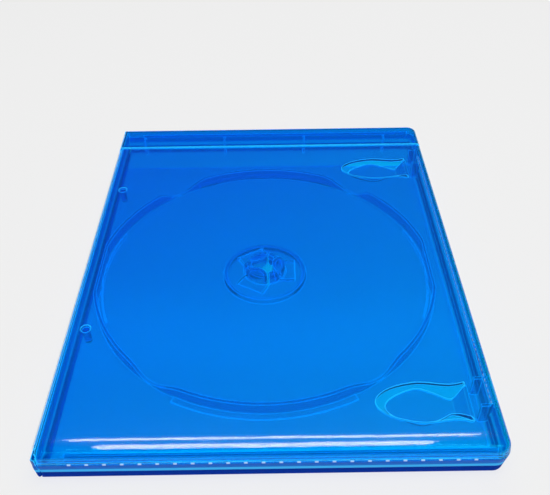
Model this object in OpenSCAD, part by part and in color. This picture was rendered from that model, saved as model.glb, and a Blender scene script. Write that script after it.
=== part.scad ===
// Optical disc keep case, closed and lying on its back.
// X runs from the spine to the opening edge, Y from the near end to the header, Z up.
// The origin is the centre of the rectangle that the closed case rests on.

/* [Case] */
// Width of the closed case, from the spine to the opening edge
case_w = 135; // [134:0.5:150]
// Height of the case, from its near end to its header end
case_h = 171.5; // [168:0.5:200]
// Thickness of the closed case
case_t = 13; // [12.5:0.1:16]
// Radius of the two corners at the opening edge, seen from the front
corner_r = 4.25; // [4:0.25:7]
// Radius of the two upright corners at the spine, seen from the front
spine_corner_r = 1; // [0.5:0.1:2]
// Radius of the long outer edges
edge_r = 2; // [1.5:0.1:2.4]
// Radius of the tray's edge along the back of the case
back_edge_r = 1.8; // [1.2:0.1:1.9]
// Radius of the spine's long edges
spine_edge_r = 2; // [1.2:0.1:2.4]
// How far the cover's walls lean in from the seam to the top
cover_lean = 0.8; // [0.3:0.1:1]
// How far the tray's walls lean in from the seam to the table
tray_lean = 1.2; // [0.5:0.1:1.3]
// Height of the line where cover and tray meet
seam_z = 8.8; // [8.2:0.1:9.2]
// Thickness of the rim walls
rim_t = 1.3; // [1:0.1:1.6]
// Thickness of the front panel, the spine and the tray floor
panel_t = 1.15; // [1:0.05:1.3]

/* [Header and sleeve] */
// Height of the raised band across the top of the case
header_h = 15.6; // [12:0.25:18]
// How far the header stands out over the sleeve's pocket
header_step = 0.45; // [0.4:0.05:0.7]
// Thickness of the clear sleeve's film
film_t = 0.15; // [0.1:0.01:0.2]
// Height of the weld land that holds the film off the panel
weld_land_t = 0.08; // [0.05:0.01:0.12]
// Width of the shallow thumb cut in the sleeve's top edge
thumb_cut_w = 90; // [60:1:100]
// Depth of the thumb cut, and of the tab that it leaves on the bottom edge
thumb_cut_d = 2.5; // [2:0.25:2.75]
// Length of the cut's sloping ends
thumb_cut_slope = 4; // [2:0.5:6]

/* [Hinges] */
// Distance of each living hinge's axis from the outer faces beside it
hinge_inset = 0.3; // [0.25:0.05:0.4]
// Width of the thin web left between two panels at a hinge
hinge_gap = 0.85; // [0.6:0.05:0.95]

/* [Disc tray] */
// Offset of the hub's centre towards the opening edge
hub_x = -2.4; // [-3:0.05:-2]
// Offset of the hub's centre towards the header
hub_y = -2.2; // [-6:0.1:2]
// Inner radius of the wall round the disc
ring_r = 61.7; // [61.3:0.1:62.1]
// Thickness of the wall round the disc
ring_t = 1.2; // [1:0.1:1.4]
// Distance from the hub's centre to the wall's two flat stretches
ring_flat = 61.5; // [61.2:0.1:61.8]
// Height of the wall's top over the table
ring_top_z = 6.3; // [5:0.1:7]
// Height of the bottom of the wall's finger dips
dip_z = 2.1; // [1.9:0.1:3]
// Inner radius of the low ledges beside the flat stretches
ledge_r = 60.2; // [60:0.1:60.4]
// Height of the low ledges over the floor
ledge_h = 1.1; // [0.6:0.1:1.5]

/* [Wall ribs] */
// Distance between the buttress ribs inside the far wall
rib_pitch = 36.7; // [30:0.1:42]
// Offset of the middle of the row of ribs towards the spine
rib_shift = 2.75; // [0:0.25:5]
// Length of the ribs, from the wall's lip inwards
rib_len = 2.5; // [1.5:0.1:4]
// Height of the ribs' tops over the table
rib_top_z = 9; // [7:0.1:10]
// Thickness of the ribs
rib_t = 0.8; // [0.6:0.05:1]

/* [Hub] */
// Radius of the hub's platform where it meets the floor
platform_r = 16; // [15.5:0.1:18]
// Height of the platform's top over the table
platform_z = 3.65; // [3.4:0.05:4]
// Radius of the ring that enters the disc's hole
clamp_r = 7.4; // [7.2:0.05:7.45]
// How far the bead stands out under the disc's upper face
bead = 0.2; // [0.1:0.05:0.3]
// Height of the clamp ring's top over the table
clamp_z = 7; // [6.5:0.1:7.5]
// Width of each spring finger
finger_w = 9.7; // [9:0.1:10]
// Width of the slots beside the fingers
slot_w = 0.7; // [0.6:0.05:0.9]
// Radius at which the fingers join the platform
finger_root_r = 11.3; // [10.8:0.1:12]

/* [Booklet clips] */
// Distance of the clips' root from the opening edge
clip_inset = 9.6; // [9:0.1:12]
// Distance of the far clip's centreline from the far end
clip_far = 33.8; // [28:0.1:45]
// Distance of the near clip's centreline from the near end
clip_near = 17; // [15:0.1:30]
// Gap that a booklet slides into, between panel and tongue
booklet_gap = 1.3; // [1:0.1:1.6]

/* [Hidden] */
$fn = 96;
eps = 0.01;
big = 400;
// How far a cut runs past the face that it starts from
over = 1;
// How far a wall runs into the plate or wall that it joins
join = 0.2;

blue = [0.02, 0.36, 0.86, 0.75];
clear_film = [0.75, 0.88, 1, 0.35];

// Heights of the panels and of the seam
header_y = case_h / 2 - header_h;
floor_under_z = header_step;
floor_top_z = header_step + panel_t;
panel_top_z = case_t - header_step;
panel_under_z = panel_top_z - panel_t;
seam_gap = 0.1;
tray_wall_z = seam_z - seam_gap / 2;
cover_wall_z = seam_z + seam_gap / 2;
seam_bevel = 0.3;
inner_fillet = 1;
flange_w = 3.4;
foot_flat = 0.7;

// Leaning walls: their tilt, and the distance in at which the round long edges end on the flats
cover_tilt = atan(cover_lean / (case_t - seam_z));
tray_tilt = atan(tray_lean / seam_z);
function cover_lean_at(z) = cover_lean * (z - seam_z) / (case_t - seam_z);
function tray_lean_at(z) = tray_lean * (seam_z - z) / seam_z;
function cover_flat_in(top_z) = cover_lean_at(top_z - edge_r) + edge_r / cos(cover_tilt);
tray_flat_in = tray_lean_at(back_edge_r) + back_edge_r / cos(tray_tilt);
foot_w = tray_flat_in + foot_flat;
plate_inset = flange_w - 2 * join;

// Inner lip of the tray, which the cover's rim closes over
lip_gap = 0.4;
lip_t = 0.95;
lip_top_z = 10.5;
lip_lead_w = 0.25;
lip_lead_h = 0.4;
lip_out = rim_t + lip_gap;
lip_in = lip_out + lip_t;
corbel_z = tray_wall_z - 2 * (lip_in - rim_t);
lip_far_inset = 27;
lip_near_inset = 41;
lip_spine_inset = 9;

// Two catches on the opening side: a lug on the tray, and a groove for its nose in the cover
catch_far = 21;
catch_near = 22.5;
catch_len = 11;
catch_depth = 3.6;
catch_web_t = 1;
catch_web_drop = 1.2;
catch_nose = 0.22;
catch_nose_h = 0.9;
catch_nose_z = 9.9;
catch_nose_inset = 1;
catch_nose_flat = 0.1;
catch_groove = 0.25;
catch_groove_flat = 0.3;
catch_play = 0.35;

// Hinge geometry: the panels' ends are mitred, so that an open case lies flat
hinge_x = -case_w / 2 + hinge_inset;
mitre = hinge_gap / sqrt(2);
spine_face_x = -case_w / 2 + hinge_inset;
spine_in_x = spine_face_x + panel_t;
spine_play = 0.35;
wall_end_x = spine_in_x + spine_play;
hinge_edge_r = 1;
function hinge_edge_x(inset_z) = hinge_x + mitre - hinge_inset + inset_z;

// Sleeve
film_play = 0.1;
film_foot_play = 0.15;
film_near_in = 1.2;
film_tab_h = 1.35;
film_rim = 2;
film_corner_r = 2;
film_top_y = header_y - film_play;
film_near_y = -case_h / 2 + cover_flat_in(panel_top_z) + film_near_in;
film_tab_y = film_near_y - film_tab_h;
film_edge_x = case_w / 2 - cover_flat_in(panel_top_z);
film_back_inset = foot_w + film_foot_play;
film_back_edge_x = case_w / 2 - film_back_inset;
film_front_z = panel_top_z + weld_land_t;
film_back_z = floor_under_z - weld_land_t - film_t;
film_spine_x = spine_face_x - weld_land_t - film_t;
weld_w = 0.9;
weld_in = 0.45;
weld_start = 10;
weld_len = 130;

// Hub
finger_r = finger_w / 2;
finger_tip = 2.8;
finger_root_gap = 0.15;
hub_wall = 1.2;
hub_bevel = 0.75;
clamp_bevel = 1;
finger_wall = 1.1;
bead_z = 5.4;
bead_h = 0.5;
bead_flat_h = 0.3;
neck_in = 0.1;
wedge_in_r = 4.8;
seat_in_r = clamp_r + bead + 0.4;
seat_groove = 0.25;
FINGERS = [0, 120, 240];

// Disc wall: its flat stretches, finger dips, base beads and ledges
flat_t = ring_t - join;
dip_reach = 4;
dip_azimuth = 127;
dip_half_n = 13.5;
dip_half_w = 9;
dip_steps = 12;
bead_sector = 27;
base_bead_w = 2.1;
base_bead_h = 0.4;
ledge_sector = 23;

// Booklet clips: half heights along the clip, from its root to its nose
clip_x = case_w / 2 - clip_inset;
clip_far_y = case_h / 2 - clip_far;
clip_near_y = -case_h / 2 + clip_near;
HOLE_HALF = [[0, 6.9], [5, 6.1], [14, 7.05], [21.5, 5.5], [25.8, 3], [27.4, 0]];
clip_root = 0.6;
TONGUE_HALF = [[-clip_root, 6.4], [4.2, 2.7], [8.5, 4.5], [14, 6.7], [19.5, 5], [23.2, 2.6], [24.5, 0]];
tongue_t = 1;
tongue_top_z = panel_under_z - booklet_gap;
riser_run = 4.2;
riser_lead = 0.5;
riser_under = 0.1;
curve_steps = 5;

// Round pins under the cover near the spine, each with a gate mark over it
pin_x = -case_w / 2 + 6.6;
PIN_Y = [38.8, -38];
pin_r = 1.25;
pin_end_z = 6;
gate_r = 1.7;
gate_depth = 0.15;

// Smooth open curve through the given points
function curve_point(a, b, c, d, t) =
    0.5 * (2 * b + (c - a) * t + (2 * a - 5 * b + 4 * c - d) * t * t + (3 * b - a - 3 * c + d) * t * t * t);
function curve(p, steps) = [
    for (i = [0 : len(p) - 2], k = [0 : steps - 1])
        curve_point(p[max(i - 1, 0)], p[i], p[i + 1], p[min(i + 2, len(p) - 1)], k / steps),
    p[len(p) - 1]
];
// Closed outline from the half heights of one side
function both_sides(half) = concat(half, [for (i = [len(half) - 2 : -1 : 0]) [half[i].x, -half[i].y]]);

// Outline of the closed case moved in by inset, with round corners at the opening edge only
module case_outline(inset) {
    translate([-case_w / 2, -case_h / 2 + inset])
        square([case_w - corner_r, case_h - 2 * inset]);
    translate([-case_w / 2, -case_h / 2 + corner_r])
        square([case_w - inset, case_h - 2 * corner_r]);
    for (side = [-1, 1])
        translate([case_w / 2 - corner_r, side * (case_h / 2 - corner_r)])
            circle(corner_r - inset);
}

// What a convex edge of radius r takes off a square corner at the origin
module round_off(r) {
    difference() {
        translate([-over, -over])
            square(r + over);
        translate([r, r])
            circle(r);
    }
}

// Rounds the two upright corners beside the spine
module spine_corner_cuts() {
    for (side = [0, 1])
        mirror([0, side, 0])
            translate([-case_w / 2, -case_h / 2, -over])
                linear_extrude(case_t + 2 * over)
                    round_off(spine_corner_r);
}

// Sweeps a rim profile along the near wall, the opening edge and the far wall.
// The profile's X is the distance in from the outer face, and its Y is the height.
module sweep_rim() {
    for (side = [0, 1])
        mirror([0, side, 0]) {
            translate([-case_w / 2, -case_h / 2, 0])
                rotate([90, 0, 90])
                    linear_extrude(case_w - corner_r)
                        children();
            translate([case_w / 2 - corner_r, -case_h / 2 + corner_r, 0])
                rotate([0, 0, -90])
                    rotate_extrude(angle = 90)
                        translate([corner_r, 0])
                            mirror([1, 0])
                                children();
        }
    translate([case_w / 2, -case_h / 2 + corner_r, 0])
        rotate([90, 0, 180])
            linear_extrude(case_h - 2 * corner_r)
                children();
}

// Slab of the whole plan between two places along Y
module y_slab(y0, y1) {
    translate([-big / 2, y0, -big / 2])
        cube([big, y1 - y0, big]);
}

// Space kept free for the spine, as a profile in X and Z: the mitre and the gap beside the spine
module spine_space(turned) {
    z0 = turned ? case_t : 0;
    dir = turned ? -1 : 1;
    translate([0, big / 2, 0])
        rotate([90, 0, 0])
            linear_extrude(big)
                polygon([
                    [-big, z0 - dir * over],
                    [hinge_x + mitre - hinge_inset - over, z0 - dir * over],
                    [wall_end_x, z0 + dir * (wall_end_x - hinge_x - mitre + hinge_inset)],
                    [wall_end_x, z0 + dir * case_t],
                    [-big, z0 + dir * case_t]
                ]);
}

// Weld land that the film is sealed to, along the opening edge
module weld_land(edge_x, z) {
    translate([edge_x - weld_in - weld_w, header_y - weld_start - weld_len, z])
        cube([weld_w, weld_len, weld_land_t]);
}

// Space inside a leaning wall with a round long edge of radius r, as a profile from the flat face at zero up
// to the seam at seam_h. The round edge ends on the flat at flat_in.
module leaning_limit(r, flat_in, tilt, seam_h) {
    tangent = [flat_in - r * cos(tilt), r - r * sin(tilt)];
    translate([flat_in, r])
        circle(r);
    polygon([tangent, [flat_in, r], [flat_in, seam_h], [0, seam_h]]);
    translate([flat_in - eps, 0])
        square([big, big]);
}

module tray_rim_profile() {
    fillet_x = rim_t + tray_lean_at(floor_top_z);
    difference() {
        intersection() {
            union() {
                square([foot_w, floor_top_z]);
                translate([0, floor_under_z])
                    square([flange_w, panel_t]);
                polygon([[0, 0], [rim_t + tray_lean, 0], [rim_t, tray_wall_z], [0, tray_wall_z]]);
                difference() {
                    translate([fillet_x - join, floor_top_z - eps])
                        square([inner_fillet + join, inner_fillet]);
                    translate([fillet_x + inner_fillet, floor_top_z + inner_fillet])
                        circle(inner_fillet);
                }
            }
            leaning_limit(back_edge_r, tray_flat_in, tray_tilt, seam_z);
        }
        polygon([[-over, tray_wall_z - seam_bevel - over], [-over, tray_wall_z + over],
                 [seam_bevel + over, tray_wall_z + over]]);
    }
}

module lip_profile() {
    polygon([
        [rim_t - 2 * eps, corbel_z], [lip_in, corbel_z + 2 * (lip_in - rim_t)], [lip_in, lip_top_z],
        [lip_out + lip_lead_w, lip_top_z], [lip_out, lip_top_z - lip_lead_h], [lip_out, tray_wall_z],
        [rim_t - 2 * eps, tray_wall_z]
    ]);
}

// Lug behind the opening edge that holds a catch's nose out to the cover
module catch_lug(y) {
    x_face = case_w / 2 - lip_out;
    translate([x_face - lip_t, y - catch_len / 2, floor_top_z - eps])
        cube([lip_t, catch_len, lip_top_z - floor_top_z]);
    for (side = [-1, 1])
        translate([x_face - catch_depth, y + side * (catch_len - catch_web_t) / 2 - catch_web_t / 2,
                   floor_top_z - eps])
            cube([catch_depth - eps, catch_web_t, lip_top_z - floor_top_z - catch_web_drop]);
    translate([x_face, y + catch_len / 2 - catch_nose_inset, catch_nose_z])
        rotate([90, 0, 0])
            linear_extrude(catch_len - 2 * catch_nose_inset)
                polygon([[-eps, -catch_nose_h / 2], [catch_nose, -catch_nose_flat],
                         [catch_nose, catch_nose_flat], [-eps, catch_nose_h / 2]]);
    translate([case_w / 2 - rim_t - eps, y - catch_len / 2, floor_top_z])
        mirror([1, 0, 0])
            cube([lip_gap + 2 * eps, catch_len, tray_wall_z - floor_top_z]);
}

// Row of four buttress ribs inside the far wall, standing on the floor against the lip
module wall_ribs() {
    for (i = [-1.5 : 1.5])
        translate([i * rib_pitch - rib_shift - rib_t / 2, case_h / 2 - lip_in - rib_len, floor_top_z - eps])
            cube([rib_t, rib_len + join, rib_top_z - floor_top_z + eps]);
}

// Scallop that lowers the disc wall for a finger, as a profile along the wall and up
module dip_profile() {
    arc_n = ring_r * dip_half_n * PI / 180;
    arc_w = ring_r * dip_half_w * PI / 180;
    depth = ring_top_z - dip_z;
    polygon(concat(
        [for (i = [0 : dip_steps]) let (t = i / dip_steps)
            [-arc_n * (1 - t), ring_top_z - depth * (1 - cos(180 * t)) / 2]],
        [for (i = [1 : dip_steps]) let (t = i / dip_steps)
            [arc_w * t, dip_z + depth * (1 - cos(180 * t)) / 2]],
        [[arc_w, ring_top_z + over], [-arc_n, ring_top_z + over]]
    ));
}

module ring_outline(r, flat) {
    intersection() {
        circle(r);
        square([2 * flat, 3 * r], center = true);
    }
}

// Wall round the disc, with its flats, ledges, finger dips and base beads, about the hub's centre
module disc_wall() {
    difference() {
        translate([0, 0, floor_top_z - eps])
            linear_extrude(ring_top_z - floor_top_z + eps)
                difference() {
                    ring_outline(ring_r + ring_t, ring_flat);
                    ring_outline(ring_r, ring_flat - flat_t);
                }
        for (mx = [0, 1], my = [0, 1])
            mirror([mx, 0, 0])
                mirror([0, my, 0])
                    rotate([0, 0, dip_azimuth])
                        translate([ring_r - dip_reach, 0, 0])
                            rotate([90, 0, 90])
                                linear_extrude(2 * dip_reach)
                                    dip_profile();
    }
    for (side = [0, 180])
        rotate([0, 0, side - ledge_sector])
            rotate_extrude(angle = 2 * ledge_sector)
                translate([ledge_r, floor_top_z - eps])
                    square([ring_flat - flat_t + join - ledge_r, ledge_h + eps]);
    for (side = [90, 270])
        rotate([0, 0, side - bead_sector])
            rotate_extrude(angle = 2 * bead_sector)
                translate([ring_r + ring_t - join, floor_top_z - eps])
                    square([base_bead_w + join, base_bead_h + eps]);
}

// Plan of one spring finger that points along +X, grown by play on its sides
module finger_plan(play, root) {
    cx = finger_tip + finger_r;
    intersection() {
        translate([cx, 0])
            circle(finger_r + play);
        translate([-play, -finger_w])
            square([cx + play + eps, 2 * finger_w]);
    }
    translate([cx, -finger_r - play])
        square([root - cx, 2 * (finger_r + play)]);
}

// Solid of revolution inside which the clamp ring's parts lie
module clamp_body() {
    under_z = platform_z - hub_wall;
    rotate_extrude()
        polygon([
            [0, under_z], [clamp_r, under_z], [clamp_r, bead_z - bead_h], [clamp_r + bead, bead_z],
            [clamp_r + bead, bead_z + bead_flat_h], [clamp_r - neck_in, bead_z + bead_flat_h + bead_h],
            [clamp_r - clamp_bevel, clamp_z], [0, clamp_z]
        ]);
}

// Hub platform with the fixed wedges of the clamp ring, about the hub's centre
module hub_solid() {
    cylinder(r1 = platform_r, r2 = platform_r - hub_bevel, h = platform_z);
    clamp_body();
}

// Shallow groove round the clamp ring's foot, so that a disc lies flat on the platform
module seat_relief() {
    rotate_extrude()
        translate([clamp_r, platform_z - seat_groove])
            square([seat_in_r - clamp_r, seat_groove + eps]);
}

module hub_hollows() {
    translate([0, 0, -over])
        cylinder(r = platform_r - hub_wall - hub_bevel, h = platform_z - hub_wall + over);
    for (a = FINGERS)
        rotate([0, 0, a])
            translate([0, 0, -over])
                linear_extrude(clamp_z + 2 * over)
                    finger_plan(slot_w, finger_root_r);
    translate([0, 0, -over])
        cylinder(r = wedge_in_r, h = clamp_z + 2 * over);
    seat_relief();
}

module back_tray() {
    color(blue)
        difference() {
            union() {
                sweep_rim()
                    tray_rim_profile();
                intersection() {
                    sweep_rim()
                        lip_profile();
                    translate([-case_w / 2 + lip_spine_inset, -case_h / 2, 0])
                        cube([case_w, case_h, case_t]);
                    union() {
                        translate([-case_w, -case_h, 0])
                            cube([case_w * 1.5 - corner_r, case_h * 2, case_t]);
                        y_slab(-case_h / 2 + lip_near_inset, case_h / 2 - lip_far_inset);
                    }
                }
                catch_lug(case_h / 2 - catch_far);
                catch_lug(-case_h / 2 + catch_near);
                wall_ribs();
                translate([0, 0, floor_under_z])
                    linear_extrude(panel_t)
                        case_outline(plate_inset);
                intersection() {
                    linear_extrude(floor_top_z)
                        case_outline(tray_flat_in);
                    y_slab(header_y, case_h);
                }
                weld_land(film_back_edge_x, floor_under_z - weld_land_t);
                translate([hub_x, hub_y, 0]) {
                    disc_wall();
                    intersection() {
                        hub_solid();
                        translate([0, 0, floor_under_z])
                            cylinder(r = platform_r + over, h = case_t);
                    }
                }
            }
            translate([hub_x, hub_y, 0])
                hub_hollows();
            spine_space(false);
            spine_corner_cuts();
        }
}

// One spring finger of the hub; it bends down when the button of the hub is pressed
module hub_finger(azimuth) {
    under_z = platform_z - hub_wall;
    root = finger_root_r - finger_root_gap;
    color(blue)
        translate([hub_x, hub_y, 0])
            rotate([0, 0, azimuth])
                difference() {
                    union() {
                        translate([0, 0, under_z])
                            linear_extrude(hub_wall)
                                finger_plan(0, root);
                        intersection() {
                            clamp_body();
                            linear_extrude(case_t)
                                finger_plan(0, root);
                        }
                    }
                    intersection() {
                        translate([0, 0, under_z - over])
                            linear_extrude(clamp_z - hub_wall - under_z + over)
                                finger_plan(-finger_wall, root);
                        cylinder(r = clamp_r - finger_wall, h = case_t);
                    }
                    seat_relief();
                }
}

module hub_finger_east() {
    hub_finger(FINGERS[0]);
}

module hub_finger_northwest() {
    hub_finger(FINGERS[1]);
}

module hub_finger_southwest() {
    hub_finger(FINGERS[2]);
}

// Spine wall between the two living hinges, thicker beside the header
module spine_panel() {
    color(blue)
        difference() {
            intersection() {
                for (part = [[spine_face_x, -case_h / 2, header_y], [-case_w / 2, header_y, case_h / 2]])
                    translate([0, part[2], 0])
                        rotate([90, 0, 0])
                            linear_extrude(part[2] - part[1])
                                spine_profile(part[0]);
                end_space();
                mirror([0, 1, 0])
                    end_space();
            }
            spine_corner_cuts();
        }
}

// Space on the inner side of the near end's outer face, with its lean and its round long edges
module end_space() {
    translate([-case_w, -case_h / 2, 0])
        rotate([90, 0, 90])
            linear_extrude(2 * case_w) {
                leaning_limit(back_edge_r, tray_flat_in, tray_tilt, seam_z);
                translate([0, case_t])
                    mirror([0, 1])
                        leaning_limit(edge_r, cover_flat_in(case_t), cover_tilt, case_t - seam_z);
            }
}

module spine_profile(face_x) {
    low = hinge_inset + mitre - hinge_x;
    edge_z = face_x + case_w / 2;
    difference() {
        polygon([
            [face_x, face_x + low], [spine_in_x, spine_in_x + low],
            [spine_in_x, case_t - spine_in_x - low], [face_x, case_t - face_x - low]
        ]);
        for (side = [0, 1])
            translate([face_x, side * case_t + (1 - 2 * side) * edge_z])
                mirror([0, side])
                    round_off(spine_edge_r);
    }
}

// Rounds the long edge of the front panel and of the header band beside the hinge
module hinge_edge_cuts() {
    for (part = [[panel_top_z, -case_h, header_y], [case_t, header_y, case_h]])
        translate([hinge_edge_x(case_t - part[0]), part[2], part[0]])
            rotate([90, 0, 0])
                linear_extrude(part[2] - part[1])
                    mirror([0, 1])
                        round_off(hinge_edge_r);
}

module cover_rim_profile(top_z) {
    under_z = top_z - panel_t;
    difference() {
        intersection() {
            union() {
                translate([0, cover_wall_z])
                    square([rim_t, top_z - cover_wall_z]);
                translate([0, under_z])
                    square([flange_w, panel_t]);
                difference() {
                    translate([rim_t - eps, under_z - inner_fillet + eps])
                        square(inner_fillet);
                    translate([rim_t + inner_fillet, under_z - inner_fillet])
                        circle(inner_fillet);
                }
            }
            translate([0, top_z])
                mirror([0, 1])
                    leaning_limit(edge_r, cover_flat_in(top_z), cover_tilt, top_z - seam_z);
        }
        polygon([[-over, cover_wall_z - over], [seam_bevel + over, cover_wall_z - over],
                 [-over, cover_wall_z + seam_bevel + over]]);
    }
}

module cover_shell(top_z, y0, y1) {
    intersection() {
        union() {
            sweep_rim()
                cover_rim_profile(top_z);
            translate([0, 0, top_z - panel_t])
                linear_extrude(panel_t)
                    case_outline(plate_inset);
        }
        y_slab(y0, y1);
    }
}

// Groove in the cover's rim for a catch's nose
module catch_groove_cut(y) {
    half = catch_len / 2 - catch_nose_inset + catch_play;
    translate([case_w / 2 - rim_t, y + half, catch_nose_z])
        rotate([90, 0, 0])
            linear_extrude(2 * half)
                polygon([[-eps, -catch_nose_h], [catch_groove, -catch_groove_flat],
                         [catch_groove, catch_groove_flat], [-eps, catch_nose_h]]);
}

// One booklet clip under the panel: a tongue on a sloping riser, with its root at the origin
module clip_tongue() {
    mirror([1, 0, 0])
        intersection() {
            translate([0, 0, tongue_top_z - tongue_t])
                linear_extrude(case_t)
                    polygon(curve(both_sides(TONGUE_HALF), curve_steps));
            translate([0, big / 2, 0])
                rotate([90, 0, 0])
                    linear_extrude(big)
                        polygon([
                            [-clip_root, panel_top_z], [clip_root, panel_top_z], [riser_run, tongue_top_z],
                            [big, tongue_top_z], [big, tongue_top_z - tongue_t],
                            [riser_run - riser_lead, tongue_top_z - tongue_t],
                            [-clip_root, panel_under_z - riser_under]
                        ]);
        }
}

module clip_hole() {
    translate([0, 0, panel_under_z - over])
        linear_extrude(panel_t + 2 * over)
            mirror([1, 0])
                polygon(curve(both_sides(HOLE_HALF), curve_steps));
}

module front_cover() {
    color(blue) {
        difference() {
            union() {
                cover_shell(panel_top_z, -case_h, header_y);
                cover_shell(case_t, header_y, case_h);
                weld_land(film_edge_x, panel_top_z);
                for (y = PIN_Y)
                    translate([pin_x, y, pin_end_z])
                        cylinder(r = pin_r, h = panel_under_z - pin_end_z + eps);
            }
            spine_space(true);
            spine_corner_cuts();
            hinge_edge_cuts();
            for (y = [clip_far_y, clip_near_y])
                translate([clip_x, y, 0])
                    clip_hole();
            for (y = PIN_Y)
                translate([pin_x, y, panel_top_z - gate_depth])
                    cylinder(r = gate_r, h = gate_depth + over);
            catch_groove_cut(case_h / 2 - catch_far);
            catch_groove_cut(-case_h / 2 + catch_near);
        }
        for (y = [clip_far_y, clip_near_y])
            translate([clip_x, y, 0])
                clip_tongue();
    }
}

// Plan of the sleeve's front, with the thumb cut in its top edge and the matching tab on its near edge
module film_plan() {
    x0 = spine_in_x;
    half = thumb_cut_w / 2;
    slope = thumb_cut_slope;
    polygon([
        [x0, film_near_y], [-half - slope + hub_x, film_near_y], [-half + hub_x, film_tab_y],
        [half + hub_x, film_tab_y], [half + slope + hub_x, film_near_y], [film_edge_x, film_near_y],
        [film_edge_x, film_top_y], [half + slope + hub_x, film_top_y],
        [half + hub_x, film_top_y - thumb_cut_d], [-half + hub_x, film_top_y - thumb_cut_d],
        [-half - slope + hub_x, film_top_y], [x0, film_top_y]
    ]);
}

// The film's free corner is trimmed to the case's round corner
module sleeve_front() {
    color(clear_film)
        translate([0, 0, film_front_z])
            linear_extrude(film_t)
                intersection() {
                    film_plan();
                    case_outline(film_rim);
                }
}

module sleeve_back() {
    near_y = -case_h / 2 + film_back_inset;
    color(clear_film)
        translate([0, 0, film_back_z])
            linear_extrude(film_t)
                difference() {
                    translate([spine_in_x, near_y])
                        square([film_back_edge_x - spine_in_x, film_top_y - near_y]);
                    translate([film_back_edge_x, near_y])
                        mirror([1, 0])
                            round_off(film_corner_r);
                }
}

module sleeve_spine() {
    edge_z = floor_under_z + spine_edge_r;
    color(clear_film)
        translate([film_spine_x, film_near_y, edge_z])
            cube([film_t, film_top_y - film_near_y, case_t - 2 * edge_z]);
}

back_tray();
hub_finger_east();
hub_finger_northwest();
hub_finger_southwest();
spine_panel();
front_cover();
sleeve_back();
sleeve_spine();
sleeve_front();
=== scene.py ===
"""Looks of the translucent blue disc keep case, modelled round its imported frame.

Everything is in metres in the row frame: X from the spine to the opening edge, Y from the near end to the
header, Z up, with the origin under the middle of the closed case.
"""

import math

import bpy
from mathutils import Matrix, Vector


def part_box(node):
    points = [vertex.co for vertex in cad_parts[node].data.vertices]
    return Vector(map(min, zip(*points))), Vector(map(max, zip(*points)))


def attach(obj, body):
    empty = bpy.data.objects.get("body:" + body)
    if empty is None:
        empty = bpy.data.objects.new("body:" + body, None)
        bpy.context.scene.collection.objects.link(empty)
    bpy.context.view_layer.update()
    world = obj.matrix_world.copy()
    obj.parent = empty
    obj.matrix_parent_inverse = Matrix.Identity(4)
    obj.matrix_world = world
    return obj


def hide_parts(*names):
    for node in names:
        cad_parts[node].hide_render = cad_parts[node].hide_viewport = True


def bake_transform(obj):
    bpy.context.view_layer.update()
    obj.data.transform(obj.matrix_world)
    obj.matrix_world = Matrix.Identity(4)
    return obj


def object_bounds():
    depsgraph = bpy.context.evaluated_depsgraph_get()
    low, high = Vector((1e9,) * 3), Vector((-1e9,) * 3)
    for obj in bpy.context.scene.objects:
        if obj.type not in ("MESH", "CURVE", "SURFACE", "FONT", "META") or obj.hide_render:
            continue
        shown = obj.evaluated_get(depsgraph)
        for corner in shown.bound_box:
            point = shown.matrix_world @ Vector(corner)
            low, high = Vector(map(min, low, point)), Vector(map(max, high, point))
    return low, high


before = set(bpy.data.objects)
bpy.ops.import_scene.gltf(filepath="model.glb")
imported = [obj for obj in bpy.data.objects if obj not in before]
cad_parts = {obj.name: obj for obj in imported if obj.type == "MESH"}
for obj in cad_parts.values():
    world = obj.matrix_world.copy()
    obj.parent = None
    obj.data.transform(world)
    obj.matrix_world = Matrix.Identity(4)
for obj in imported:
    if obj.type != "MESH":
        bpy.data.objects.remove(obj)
cad_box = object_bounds()
MM = 0.001

# The camera at the photo's angle, from the outline of the case
PHOTO_WIDTH_PX = 550
CAMERA_FOCAL_PX = 682.9
CAMERA_PLACE = Vector((1.63, -190.02, 178.89)) * MM
CAMERA_ELEVATION = math.radians(41.03)
CAMERA_YAW = math.radians(-0.025)
CAMERA_ROLL = math.radians(-0.84)
SENSOR_WIDTH_MM = 36

# Sheet of white paper under the case, at the photo's level, and how much of it glows by itself
PAPER = "F3F3F3"
PAPER_SIZE = 6
OPEN_GLOW = 0.85
GLOW_BEHIND_CASE = 0.35
ROOM_LEVEL = 0.03

# How often light may turn or pass on its way through the stacked clear walls
LIGHT_BOUNCES = 24
CLEAR_BOUNCES = 32

# Case and its parts, from the frame
CASE_LOW, CASE_HIGH = (Vector(corner) for corner in cad_box)
CASE_T = CASE_HIGH.z
FILM_LOW, FILM_HIGH = (Vector(corner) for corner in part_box("sleeve_front"))
BACK_FILM_LOW = Vector(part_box("sleeve_back")[0])
SPINE_FILM_LOW, SPINE_FILM_HIGH = (Vector(corner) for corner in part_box("sleeve_spine"))
FILM_T = FILM_HIGH.z - FILM_LOW.z
HEADER_Y = SPINE_FILM_HIGH.y + 0.1 * MM

# Front film: it floats a little over the panel, and its near edge curls down
FILM_LIFT = 0.07 * MM
CURL_START_Y = -79 * MM
CURL_END_Y = SPINE_FILM_LOW.y
CURL_DROP = 0.14 * MM
CURL_ROWS = 7
FOLD_STEPS = 10

# Living hinges: thin webs between the mitred edges of spine and panels, in two stretches with a slit between
# them. The cover hinge's web runs from the spine's round edge to the panel's, in mm of X and Z: beside the
# sleeve, where both edges are lower by the film's pocket, and beside the header.
WEB_T = 0.3 * MM
WEB_STEPS = 6
WEB_BULGE = 0.06
WEB_END_IN = 3.2 * MM
WEB_SLIT = 0.05 * MM
SLEEVE_WEB = ((-66.93, 11.55), (-66.05, 12.33))
HEADER_WEB = ((-67.28, 11.92), (-66.50, 12.78))

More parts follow.
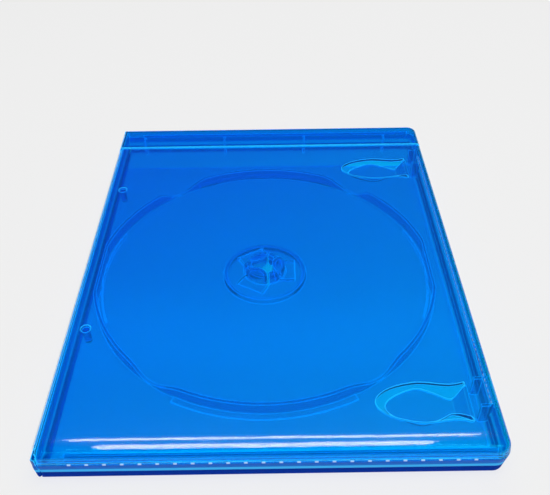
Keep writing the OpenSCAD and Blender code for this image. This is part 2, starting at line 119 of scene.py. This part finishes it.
# Round edges of the moulding, which get a painted highlight and glow: the turn of the surface, as a
# cosine, at which that starts and at which it is full
EDGE_R = 0.6 * MM
EDGE_START_COSINE = 0.985
EDGE_FULL_COSINE = 0.8
PAINTED_EDGE_SHARE = 0.9
PEEL_CREST = 6.25 * MM

# Painted light: the tint grows lighter from the far spine corner towards the near opening corner
LIT_SIDE_AXIS = (0.6, -0.8, 0.0)
LIT_SIDE_HALF_L = 110 * MM

# Tray's outer walls: blue haze, a painted highlight line half way up, painted shade at the foot, and painted
# glints along the near seam
NO_LIMIT = 1.0
RIM_ZONE = 2.2 * MM
WALL_SHARE = 0.7
LINE_Z = 5.3 * MM
LINE_HALF_H = 0.7 * MM
LINE_SHARE = 0.8
FOOT_H = 4.3 * MM
FOOT_SHADE_SHARE = 0.85
GLINT_PITCH = 4.95 * MM
GLINT_L = 1 * MM
GLINT_ROW_HALF = 61 * MM
GLINT_Z = 8.55 * MM
GLINT_HALF_H = 0.3 * MM
GLINT_DEPTH = 0.6 * MM
GLINT_SHARE = 0.8

# Toothed weld that closes the film along the opening edge, and the loose sheet's ripple
WELD_X = FILM_HIGH.x - 0.9 * MM
WELD_HALF_W = 0.15 * MM
WELD_Y = -4.85 * MM
WELD_HALF_L = 65 * MM
WELD_PITCH = 2 * MM
WELD_TOOTH_L = 1.1 * MM
WELD_SHARE = 0.3
RIPPLE_CREST = 16.67 * MM

SMOOTH_ANGLE = math.radians(30)
MERGE_DISTANCE = 0.001 * MM


def linear(code, alpha=1.0):
    """Linear colour from an sRGB hex value such as 0A5CE0."""
    parts = [int(code[i : i + 2], 16) / 255 for i in (0, 2, 4)]
    return tuple(c / 12.92 if c <= 0.04045 else ((c + 0.055) / 1.055) ** 2.4 for c in parts) + (alpha,)


def add(tree, kind, values=None, **settings):
    """Adds a node, with its properties in settings, and its inputs' values or the sockets linked to them."""
    made = tree.nodes.new(kind)
    for name, value in settings.items():
        setattr(made, name, value)
    for name, value in (values or {}).items():
        if isinstance(value, bpy.types.NodeSocket):
            tree.links.new(value, made.inputs[name])
        else:
            made.inputs[name].default_value = value
    return made


def new_material(name):
    """An empty node material and its output node."""
    material = bpy.data.materials.new(name)
    material.use_nodes = True
    material.node_tree.nodes.clear()
    return material, add(material.node_tree, "ShaderNodeOutputMaterial")


def place_camera():
    """Camera whose axes follow from its elevation, yaw and roll."""
    level = math.cos(CAMERA_ELEVATION)
    forward = Vector(
        (math.sin(CAMERA_YAW) * level, math.cos(CAMERA_YAW) * level, -math.sin(CAMERA_ELEVATION))
    )
    flat_right = Vector((math.cos(CAMERA_YAW), -math.sin(CAMERA_YAW), 0))
    flat_up = flat_right.cross(forward)
    right = math.cos(CAMERA_ROLL) * flat_right + math.sin(CAMERA_ROLL) * flat_up
    up = -math.sin(CAMERA_ROLL) * flat_right + math.cos(CAMERA_ROLL) * flat_up
    camera = bpy.data.cameras.new("camera")
    camera.sensor_width = SENSOR_WIDTH_MM
    camera.lens = SENSOR_WIDTH_MM * CAMERA_FOCAL_PX / PHOTO_WIDTH_PX
    camera.clip_start = 0.01
    camera.clip_end = 20
    holder = bpy.data.objects.new("camera", camera)
    bpy.context.scene.collection.objects.link(holder)
    axes = Matrix((right, up, -forward)).transposed()
    holder.matrix_world = Matrix.Translation(CAMERA_PLACE) @ axes.to_4x4()
    bpy.context.scene.camera = holder


def box_mask(tree, place, middle, half):
    """Mask that is 1 in a box, by its middle and half its size."""
    offset = add(tree, "ShaderNodeVectorMath", {0: place, 1: middle}, operation="SUBTRACT")
    reach = add(tree, "ShaderNodeVectorMath", {0: offset.outputs["Vector"]}, operation="ABSOLUTE")
    axes = add(tree, "ShaderNodeSeparateXYZ", {0: reach.outputs["Vector"]})
    mask = 1.0
    for axis, limit in zip("XYZ", half):
        near = add(tree, "ShaderNodeMath", {0: axes.outputs[axis], 1: limit}, operation="LESS_THAN")
        both = add(tree, "ShaderNodeMath", {0: mask, 1: near.outputs["Value"]}, operation="MULTIPLY")
        mask = both.outputs["Value"]
    return mask


def mark_row(tree, place, axis, pitch, start, length):
    """Mask that is 1 on marks of one length, which repeat along an axis with a pitch."""
    axes = add(tree, "ShaderNodeSeparateXYZ", {0: place})
    turns = add(
        tree,
        "ShaderNodeMath",
        {0: axes.outputs[axis], 1: 1 / pitch, 2: -start / pitch},
        operation="MULTIPLY_ADD",
    )
    turn = add(tree, "ShaderNodeMath", {0: turns.outputs["Value"]}, operation="FRACT")
    mark = add(tree, "ShaderNodeMath", {0: turn.outputs["Value"], 1: length / pitch}, operation="LESS_THAN")
    return mark.outputs["Value"]


def laid_over(tree, surface, mask, zone, share, finish):
    """Surface with a share of another finish laid over it, where both a mask and its zone say so."""
    where = add(tree, "ShaderNodeMath", {0: mask, 1: zone}, operation="MULTIPLY")
    part = add(tree, "ShaderNodeMath", {0: where.outputs["Value"], 1: share}, operation="MULTIPLY")
    mixed = add(tree, "ShaderNodeMixShader", {0: part.outputs["Value"], 1: surface, 2: finish.outputs[0]})
    return mixed.outputs["Shader"]


def painted_light_gradient(tree, place):
    """Colour of the moulding, with painted light: it grows lighter from the far spine corner towards the
    near opening corner."""
    along = add(tree, "ShaderNodeVectorMath", {0: place, 1: LIT_SIDE_AXIS}, operation="DOT_PRODUCT")
    lit_share = add(
        tree,
        "ShaderNodeMapRange",
        {"Value": along.outputs["Value"], "From Min": -LIT_SIDE_HALF_L, "From Max": LIT_SIDE_HALF_L},
    )
    # Painted light: lighter towards the near opening corner
    tone = add(
        tree,
        "ShaderNodeMix",
        {0: lit_share.outputs["Result"], 6: linear("00C0FC"), 7: linear("00DFF9")},
        data_type="RGBA",
    )
    return tone.outputs[2]


def moulded_body(tree, place, rounded):
    """Glossy clear body of the moulding, with the orange peel of a polished mould."""
    peel = add(
        tree,
        "ShaderNodeTexNoise",
        {"Vector": place, "Scale": 1 / PEEL_CREST, "Detail": 2.0, "Roughness": 0.5},
    )
    bump = add(
        tree,
        "ShaderNodeBump",
        {"Height": peel.outputs["Fac"], "Normal": rounded, "Strength": 0.12, "Distance": 0.3 * MM},
    )
    body = add(
        tree,
        "ShaderNodeBsdfPrincipled",
        {
            "Base Color": painted_light_gradient(tree, place),
            "Roughness": 0.08,
            "IOR": 1.49,
            "Transmission Weight": 0.9,
            "Specular IOR Level": 0.22,
            "Specular Tint": linear("00E7FF"),
            "Normal": bump.outputs["Normal"],
        },
    )
    return body.outputs["BSDF"]


def painted_edge_glow(tree, body, rounded):
    """Body with a painted highlight and glow on its round edges, found where the rounded normal leaves
    the face's own.
    """
    face = add(tree, "ShaderNodeNewGeometry")
    cosine = add(
        tree, "ShaderNodeVectorMath", {0: rounded, 1: face.outputs["Normal"]}, operation="DOT_PRODUCT"
    )
    level = add(tree, "ShaderNodeMath", {0: cosine.outputs["Value"]}, operation="ABSOLUTE")
    edge = add(
        tree,
        "ShaderNodeMapRange",
        {
            "Value": level.outputs["Value"],
            "From Min": EDGE_START_COSINE,
            "From Max": EDGE_FULL_COSINE,
            "To Max": PAINTED_EDGE_SHARE,
        },
    )
    # Painted highlight: a pale cyan layer and a glow laid over the round edges
    near_side = add(tree, "ShaderNodeBsdfDiffuse", {"Color": linear("27CBFF")})
    far_side = add(tree, "ShaderNodeBsdfTranslucent", {"Color": linear("27CBFF")})
    painted_pale_edge = add(
        tree, "ShaderNodeMixShader", {0: 0.5, 1: near_side.outputs["BSDF"], 2: far_side.outputs["BSDF"]}
    )
    painted_glow = add(tree, "ShaderNodeEmission", {"Color": linear("30CBFF"), "Strength": 1.0})
    both = add(tree, "ShaderNodeAddShader", {0: painted_pale_edge.outputs["Shader"], 1: painted_glow.outputs["Emission"]})
    edged = add(
        tree, "ShaderNodeMixShader", {0: edge.outputs["Result"], 1: body, 2: both.outputs["Shader"]}
    )
    return edged.outputs["Shader"]


def outer_walls(tree, place, surface):
    """Surface with the finishes of the tray's outer walls: their haze, a glowing painted highlight line half
    way up, painted shade darkening their foot, and a row of painted glints along the near seam."""
    inner_half = (CASE_HIGH.x - RIM_ZONE, CASE_HIGH.y - RIM_ZONE, NO_LIMIT)
    inside = box_mask(tree, place, (0, 0, 0), inner_half)
    rim = add(tree, "ShaderNodeMath", {0: 1.0, 1: inside}, operation="SUBTRACT")
    haze = add(tree, "ShaderNodeBsdfDiffuse", {"Color": linear("0078F0")})
    # Painted highlight: a glowing line half way up the walls
    painted_line_highlight = add(tree, "ShaderNodeEmission", {"Color": linear("3CB4F5"), "Strength": 1.0})
    # Painted shade: a dark blue laid over the foot of the walls
    painted_foot_shade = add(tree, "ShaderNodeBsdfDiffuse", {"Color": linear("0030B4")})
    for middle_z, half_h, share, finish in (
        (0, GLINT_Z, WALL_SHARE, haze),
        (LINE_Z, LINE_HALF_H, LINE_SHARE, painted_line_highlight),
        (0, FOOT_H, FOOT_SHADE_SHARE, painted_foot_shade),
    ):
        band = box_mask(tree, place, (0, 0, middle_z), (NO_LIMIT, NO_LIMIT, half_h))
        surface = laid_over(tree, surface, band, rim.outputs["Value"], share, finish)
    # Painted glints: a row of small glowing dots along the near wall's seam
    seam = box_mask(tree, place, (0, CASE_LOW.y, GLINT_Z), (GLINT_ROW_HALF, GLINT_DEPTH, GLINT_HALF_H))
    painted_glints = mark_row(tree, place, "X", GLINT_PITCH, (GLINT_PITCH - GLINT_L) / 2, GLINT_L)
    glint_light = add(tree, "ShaderNodeEmission", {"Color": linear("B4DCFF"), "Strength": 1.0})
    return laid_over(tree, surface, seam, painted_glints, GLINT_SHARE, glint_light)


def moulded_polypropylene():
    """Blue tinted polypropylene, injection moulded: clear enough to read through, with a little haze.

    Part of the tint is in the volume, so long ways through it go deeper blue. The round edges get a painted
    highlight and glow, which makes them look paler than the flats.
    """
    material, out = new_material("moulded_polypropylene_blue")
    tree = material.node_tree
    place = add(tree, "ShaderNodeTexCoord").outputs["Object"]
    rounded = add(tree, "ShaderNodeBevel", {"Radius": EDGE_R}, samples=6).outputs["Normal"]
    edged = painted_edge_glow(tree, moulded_body(tree, place, rounded), rounded)
    walled = outer_walls(tree, place, edged)
    lamp_light = add(tree, "ShaderNodeBsdfTransparent", {"Color": linear("95EAFF")})
    path = add(tree, "ShaderNodeLightPath")
    surface = add(
        tree,
        "ShaderNodeMixShader",
        {0: path.outputs["Is Shadow Ray"], 1: walled, 2: lamp_light.outputs["BSDF"]},
    )
    tint = add(tree, "ShaderNodeVolumeAbsorption", {"Color": linear("00F3FD"), "Density": 2000.0})
    tree.links.new(surface.outputs["Shader"], out.inputs["Surface"])
    tree.links.new(tint.outputs["Volume"], out.inputs["Volume"])
    return material


def clear_film():
    """Cast polypropylene film: clear, glossy, with the faint long ripple of a loose sheet.

    The weld along the opening edge was pressed by a toothed wheel, so it shows as a row of milky dashes.
    """
    material, out = new_material("clear_polypropylene_film")
    tree = material.node_tree
    place = add(tree, "ShaderNodeTexCoord").outputs["Object"]
    ripple = add(
        tree,
        "ShaderNodeTexNoise",
        {"Vector": place, "Scale": 1 / RIPPLE_CREST, "Detail": 1.0, "Roughness": 0.4},
    )
    bump = add(
        tree, "ShaderNodeBump", {"Height": ripple.outputs["Fac"], "Strength": 0.15, "Distance": 0.4 * MM}
    )
    through = add(tree, "ShaderNodeBsdfTransparent", {"Color": linear("F8FCFF")})
    shine = add(
        tree,
        "ShaderNodeBsdfAnisotropic",
        {"Color": linear("FFFFFF"), "Roughness": 0.08, "Normal": bump.outputs["Normal"]},
    )
    edge = add(tree, "ShaderNodeFresnel", {"IOR": 1.49, "Normal": bump.outputs["Normal"]})
    face = add(tree, "ShaderNodeNewGeometry")
    front = add(tree, "ShaderNodeMath", {0: 1.0, 1: face.outputs["Backfacing"]}, operation="SUBTRACT")
    gloss = add(
        tree, "ShaderNodeMath", {0: edge.outputs["Fac"], 1: front.outputs["Value"]}, operation="MULTIPLY"
    )
    film = add(
        tree,
        "ShaderNodeMixShader",
        {0: gloss.outputs["Value"], 1: through.outputs["BSDF"], 2: shine.outputs["BSDF"]},
    )
    strip = box_mask(tree, place, (WELD_X, WELD_Y, 0), (WELD_HALF_W, WELD_HALF_L, NO_LIMIT))
    dashes = mark_row(tree, place, "Y", WELD_PITCH, 0, WELD_TOOTH_L)
    milky = add(tree, "ShaderNodeBsdfDiffuse", {"Color": linear("9FD2FF")})
    surface = laid_over(tree, film.outputs["Shader"], strip, dashes, WELD_SHARE, milky)
    tree.links.new(surface, out.inputs["Surface"])
    return material


def white_paper():
    """Matt white paper at the photo's level. Seen past the case it hides most of the case's shadow, and seen
    through the case it keeps most of the blue light that falls on it there."""
    material, out = new_material("paper_floor")
    tree = material.node_tree
    matt = add(tree, "ShaderNodeBsdfDiffuse", {"Color": linear(PAPER)})
    glow = add(tree, "ShaderNodeEmission", {"Color": linear(PAPER), "Strength": 1.0})
    path = add(tree, "ShaderNodeLightPath")
    in_the_open = add(
        tree,
        "ShaderNodeMath",
        {0: path.outputs["Is Camera Ray"], 1: path.outputs["Is Glossy Ray"]},
        operation="MAXIMUM",
    )
    open_share = add(
        tree, "ShaderNodeMath", {0: in_the_open.outputs["Value"], 1: OPEN_GLOW}, operation="MULTIPLY"
    )
    behind_share = add(
        tree,
        "ShaderNodeMath",
        {0: path.outputs["Is Transmission Ray"], 1: GLOW_BEHIND_CASE},
        operation="MULTIPLY",
    )
    glow_share = add(
        tree,
        "ShaderNodeMath",
        {0: open_share.outputs["Value"], 1: behind_share.outputs["Value"]},
        operation="MAXIMUM",
    )
    surface = add(
        tree,
        "ShaderNodeMixShader",
        {0: glow_share.outputs["Value"], 1: matt.outputs["BSDF"], 2: glow.outputs["Emission"]},
    )
    tree.links.new(surface.outputs["Shader"], out.inputs["Surface"])
    return material


def lay_floor():
    """Flat sheet of paper that the case lies on."""
    bpy.ops.object.select_all(action="DESELECT")
    bpy.ops.mesh.primitive_plane_add(size=PAPER_SIZE, location=(0, 0, 0))
    floor = bpy.context.object
    floor.name = "paper_floor"
    floor.data.materials.append(white_paper())


def soft_lamp(name, place, width, depth, level, aim=(0, 0, 0)):
    """Rectangular soft lamp that faces a point; level is how bright its face looks, where 1 is white."""
    lamp = bpy.data.lights.new(name, "AREA")
    lamp.shape = "RECTANGLE"
    lamp.size = width
    lamp.size_y = depth
    lamp.energy = level * math.pi * width * depth
    holder = bpy.data.objects.new(name, lamp)
    bpy.context.scene.collection.objects.link(holder)
    holder.location = place
    holder.rotation_euler = (Vector(aim) - holder.location).to_track_quat("-Z", "Y").to_euler()


def light_studio():
    """Plain soft light: a dim even room, a large soft lamp over the case, and a strip lamp beyond it, which
    the curled edge of the front film mirrors."""
    world = bpy.data.worlds.new("studio")
    bpy.context.scene.world = world
    world.use_nodes = True
    tree = world.node_tree
    tree.nodes.clear()
    out = add(tree, "ShaderNodeOutputWorld")
    room = add(tree, "ShaderNodeBackground", {"Color": linear("FFFFFF"), "Strength": ROOM_LEVEL})
    tree.links.new(room.outputs["Background"], out.inputs["Surface"])
    soft_lamp("key_lamp", (0.1, -0.17, 0.85), width=0.9, depth=0.5, level=4.3)
    soft_lamp("strip_lamp", (-0.005, 0.33, 0.75), width=0.6, depth=0.035, level=16.0, aim=(-0.005, 0.33, 0))


def dress_frame(blue, film):
    """Gives every carried-over node its material."""
    for name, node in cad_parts.items():
        material = film if name.startswith("sleeve") else blue
        node.data.materials.clear()
        node.data.materials.append(material)


def finish_piece(piece, name, material):
    """Names a piece, smooths its round faces and gives it its material."""
    piece.name = name
    piece.data.materials.clear()
    piece.data.materials.append(material)
    bpy.ops.object.select_all(action="DESELECT")
    piece.select_set(True)
    bpy.context.view_layer.objects.active = piece
    bpy.ops.object.shade_smooth_by_angle(angle=SMOOTH_ANGLE)


def join_pieces(pieces):
    """One piece from several."""
    bpy.ops.object.select_all(action="DESELECT")
    for piece in pieces:
        piece.select_set(True)
    bpy.context.view_layer.objects.active = pieces[0]
    bpy.ops.object.join()
    return pieces[0]


def arc(centre, radius, start, end, steps):
    """Places in X and Z on an arc, by angles in degrees from +X towards +Z."""
    places = []
    for step in range(steps + 1):
        angle = math.radians(start + (end - start) * step / steps)
        places.append((centre[0] + radius * math.cos(angle), centre[1] + radius * math.sin(angle)))
    return places


def strip_along(path, low_y, high_y, thickness):
    """Thin strip along a path of places in X and Z, from one Y to another, thickened to its inner side."""
    bpy.ops.object.select_all(action="DESELECT")
    rows = len(path) - 1
    bpy.ops.mesh.primitive_grid_add(x_subdivisions=rows, y_subdivisions=1, size=1)
    strip = bpy.context.object
    for vertex in strip.data.vertices:
        x, z = path[round((vertex.co.x + 0.5) * rows)]
        vertex.co = (x, high_y if vertex.co.y > 0 else low_y, z)
    wall = strip.modifiers.new("wall", "SOLIDIFY")
    wall.thickness = thickness
    wall.offset = -1
    bpy.ops.object.modifier_apply(modifier=wall.name)
    return strip


def web_path(start, end):
    """Outer line of a hinge web: a flat arc between two places, which bulges out by a share of its length."""
    (x0, z0), (x1, z1) = start, end
    places = []
    for step in range(WEB_STEPS + 1):
        t = step / WEB_STEPS
        out = WEB_BULGE * 4 * t * (1 - t)
        places.append((x0 + (x1 - x0) * t - (z1 - z0) * out, z0 + (z1 - z0) * t + (x1 - x0) * out))
    return places


def hinge_web(name, blue, cover_side):
    """Thin web of one living hinge, beside the sleeve and beside the header."""
    strips = []
    for (spine_end, panel_end), low_y, high_y in (
        (SLEEVE_WEB, CASE_LOW.y + WEB_END_IN, HEADER_Y - WEB_SLIT),
        (HEADER_WEB, HEADER_Y, CASE_HIGH.y - WEB_END_IN),
    ):
        path = web_path(spine_end, panel_end)
        if not cover_side:
            path = [(x, CASE_T / MM - z) for x, z in reversed(path)]
        strips.append(strip_along([(x * MM, z * MM) for x, z in path], low_y, high_y, WEB_T))
    web = join_pieces(strips)
    finish_piece(web, name, blue)
    return web


def film_fold(name, film, cover_side):
    """Fold of the film from the spine round to the front or the back, on one radius."""
    radius = FILM_LOW.x - SPINE_FILM_LOW.x
    if cover_side:
        path = [(SPINE_FILM_LOW.x, SPINE_FILM_HIGH.z)]
        path += arc((FILM_LOW.x, FILM_HIGH.z + FILM_LIFT - radius), radius, 180, 90, FOLD_STEPS)
    else:
        path = arc((FILM_LOW.x, BACK_FILM_LOW.z + radius), radius, 270, 180, FOLD_STEPS)
        path += [(SPINE_FILM_LOW.x, SPINE_FILM_LOW.z)]
    fold = strip_along(path, SPINE_FILM_LOW.y, SPINE_FILM_HIGH.y, FILM_T)
    finish_piece(fold, name, film)
    return fold


def curled_front_film(film):
    """Front of the sleeve, cut as its node is, with its near edge curled down a little."""
    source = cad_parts["sleeve_front"]
    sheet = bpy.data.objects.new("film_front", source.data.copy())
    bpy.context.scene.collection.objects.link(sheet)
    bpy.ops.object.select_all(action="DESELECT")
    sheet.select_set(True)
    bpy.context.view_layer.objects.active = sheet
    bpy.ops.mesh.customdata_custom_splitnormals_clear()
    bpy.ops.object.mode_set(mode="EDIT")
    bpy.ops.mesh.select_all(action="SELECT")
    bpy.ops.mesh.remove_doubles(threshold=MERGE_DISTANCE)
    # The last row of faces is half as long as the others
    for row in range(CURL_ROWS):
        y = CURL_START_Y + (CURL_END_Y - CURL_START_Y) * row / (CURL_ROWS - 0.5)
        bpy.ops.mesh.select_all(action="SELECT")
        bpy.ops.mesh.bisect(plane_co=(0, y, 0), plane_no=(0, 1, 0))
    bpy.ops.object.mode_set(mode="OBJECT")
    for vertex in sheet.data.vertices:
        share = (CURL_START_Y - vertex.co.y) / (CURL_START_Y - CURL_END_Y)
        vertex.co.z += FILM_LIFT - CURL_DROP * min(max(share, 0), 1) ** 2
    finish_piece(sheet, "film_front", film)
    return sheet


def build_pieces(blue, film):
    """Webs and folds of the hinges, and the front film, which goes on the cover's body."""
    sheet = curled_front_film(film)
    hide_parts("sleeve_front")
    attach(sheet, "cover")
    for name, make, material, slot in (
        ("hinge_web", hinge_web, blue, "case_blue"),
        ("film_fold", film_fold, film, "sleeve_clear"),
    ):
        front = make(name + "_cover", material, True)
        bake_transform(front)
        back = make(name + "_tray", material, False)
        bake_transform(back)


place_camera()
lay_floor()
light_studio()
case_blue = moulded_polypropylene()
sleeve_film = clear_film()
dress_frame(case_blue, sleeve_film)
build_pieces(case_blue, sleeve_film)

scene = bpy.context.scene
scene.view_settings.view_transform = "Standard"
scene.cycles.max_bounces = LIGHT_BOUNCES
scene.cycles.transmission_bounces = LIGHT_BOUNCES
scene.cycles.transparent_max_bounces = CLEAR_BOUNCES
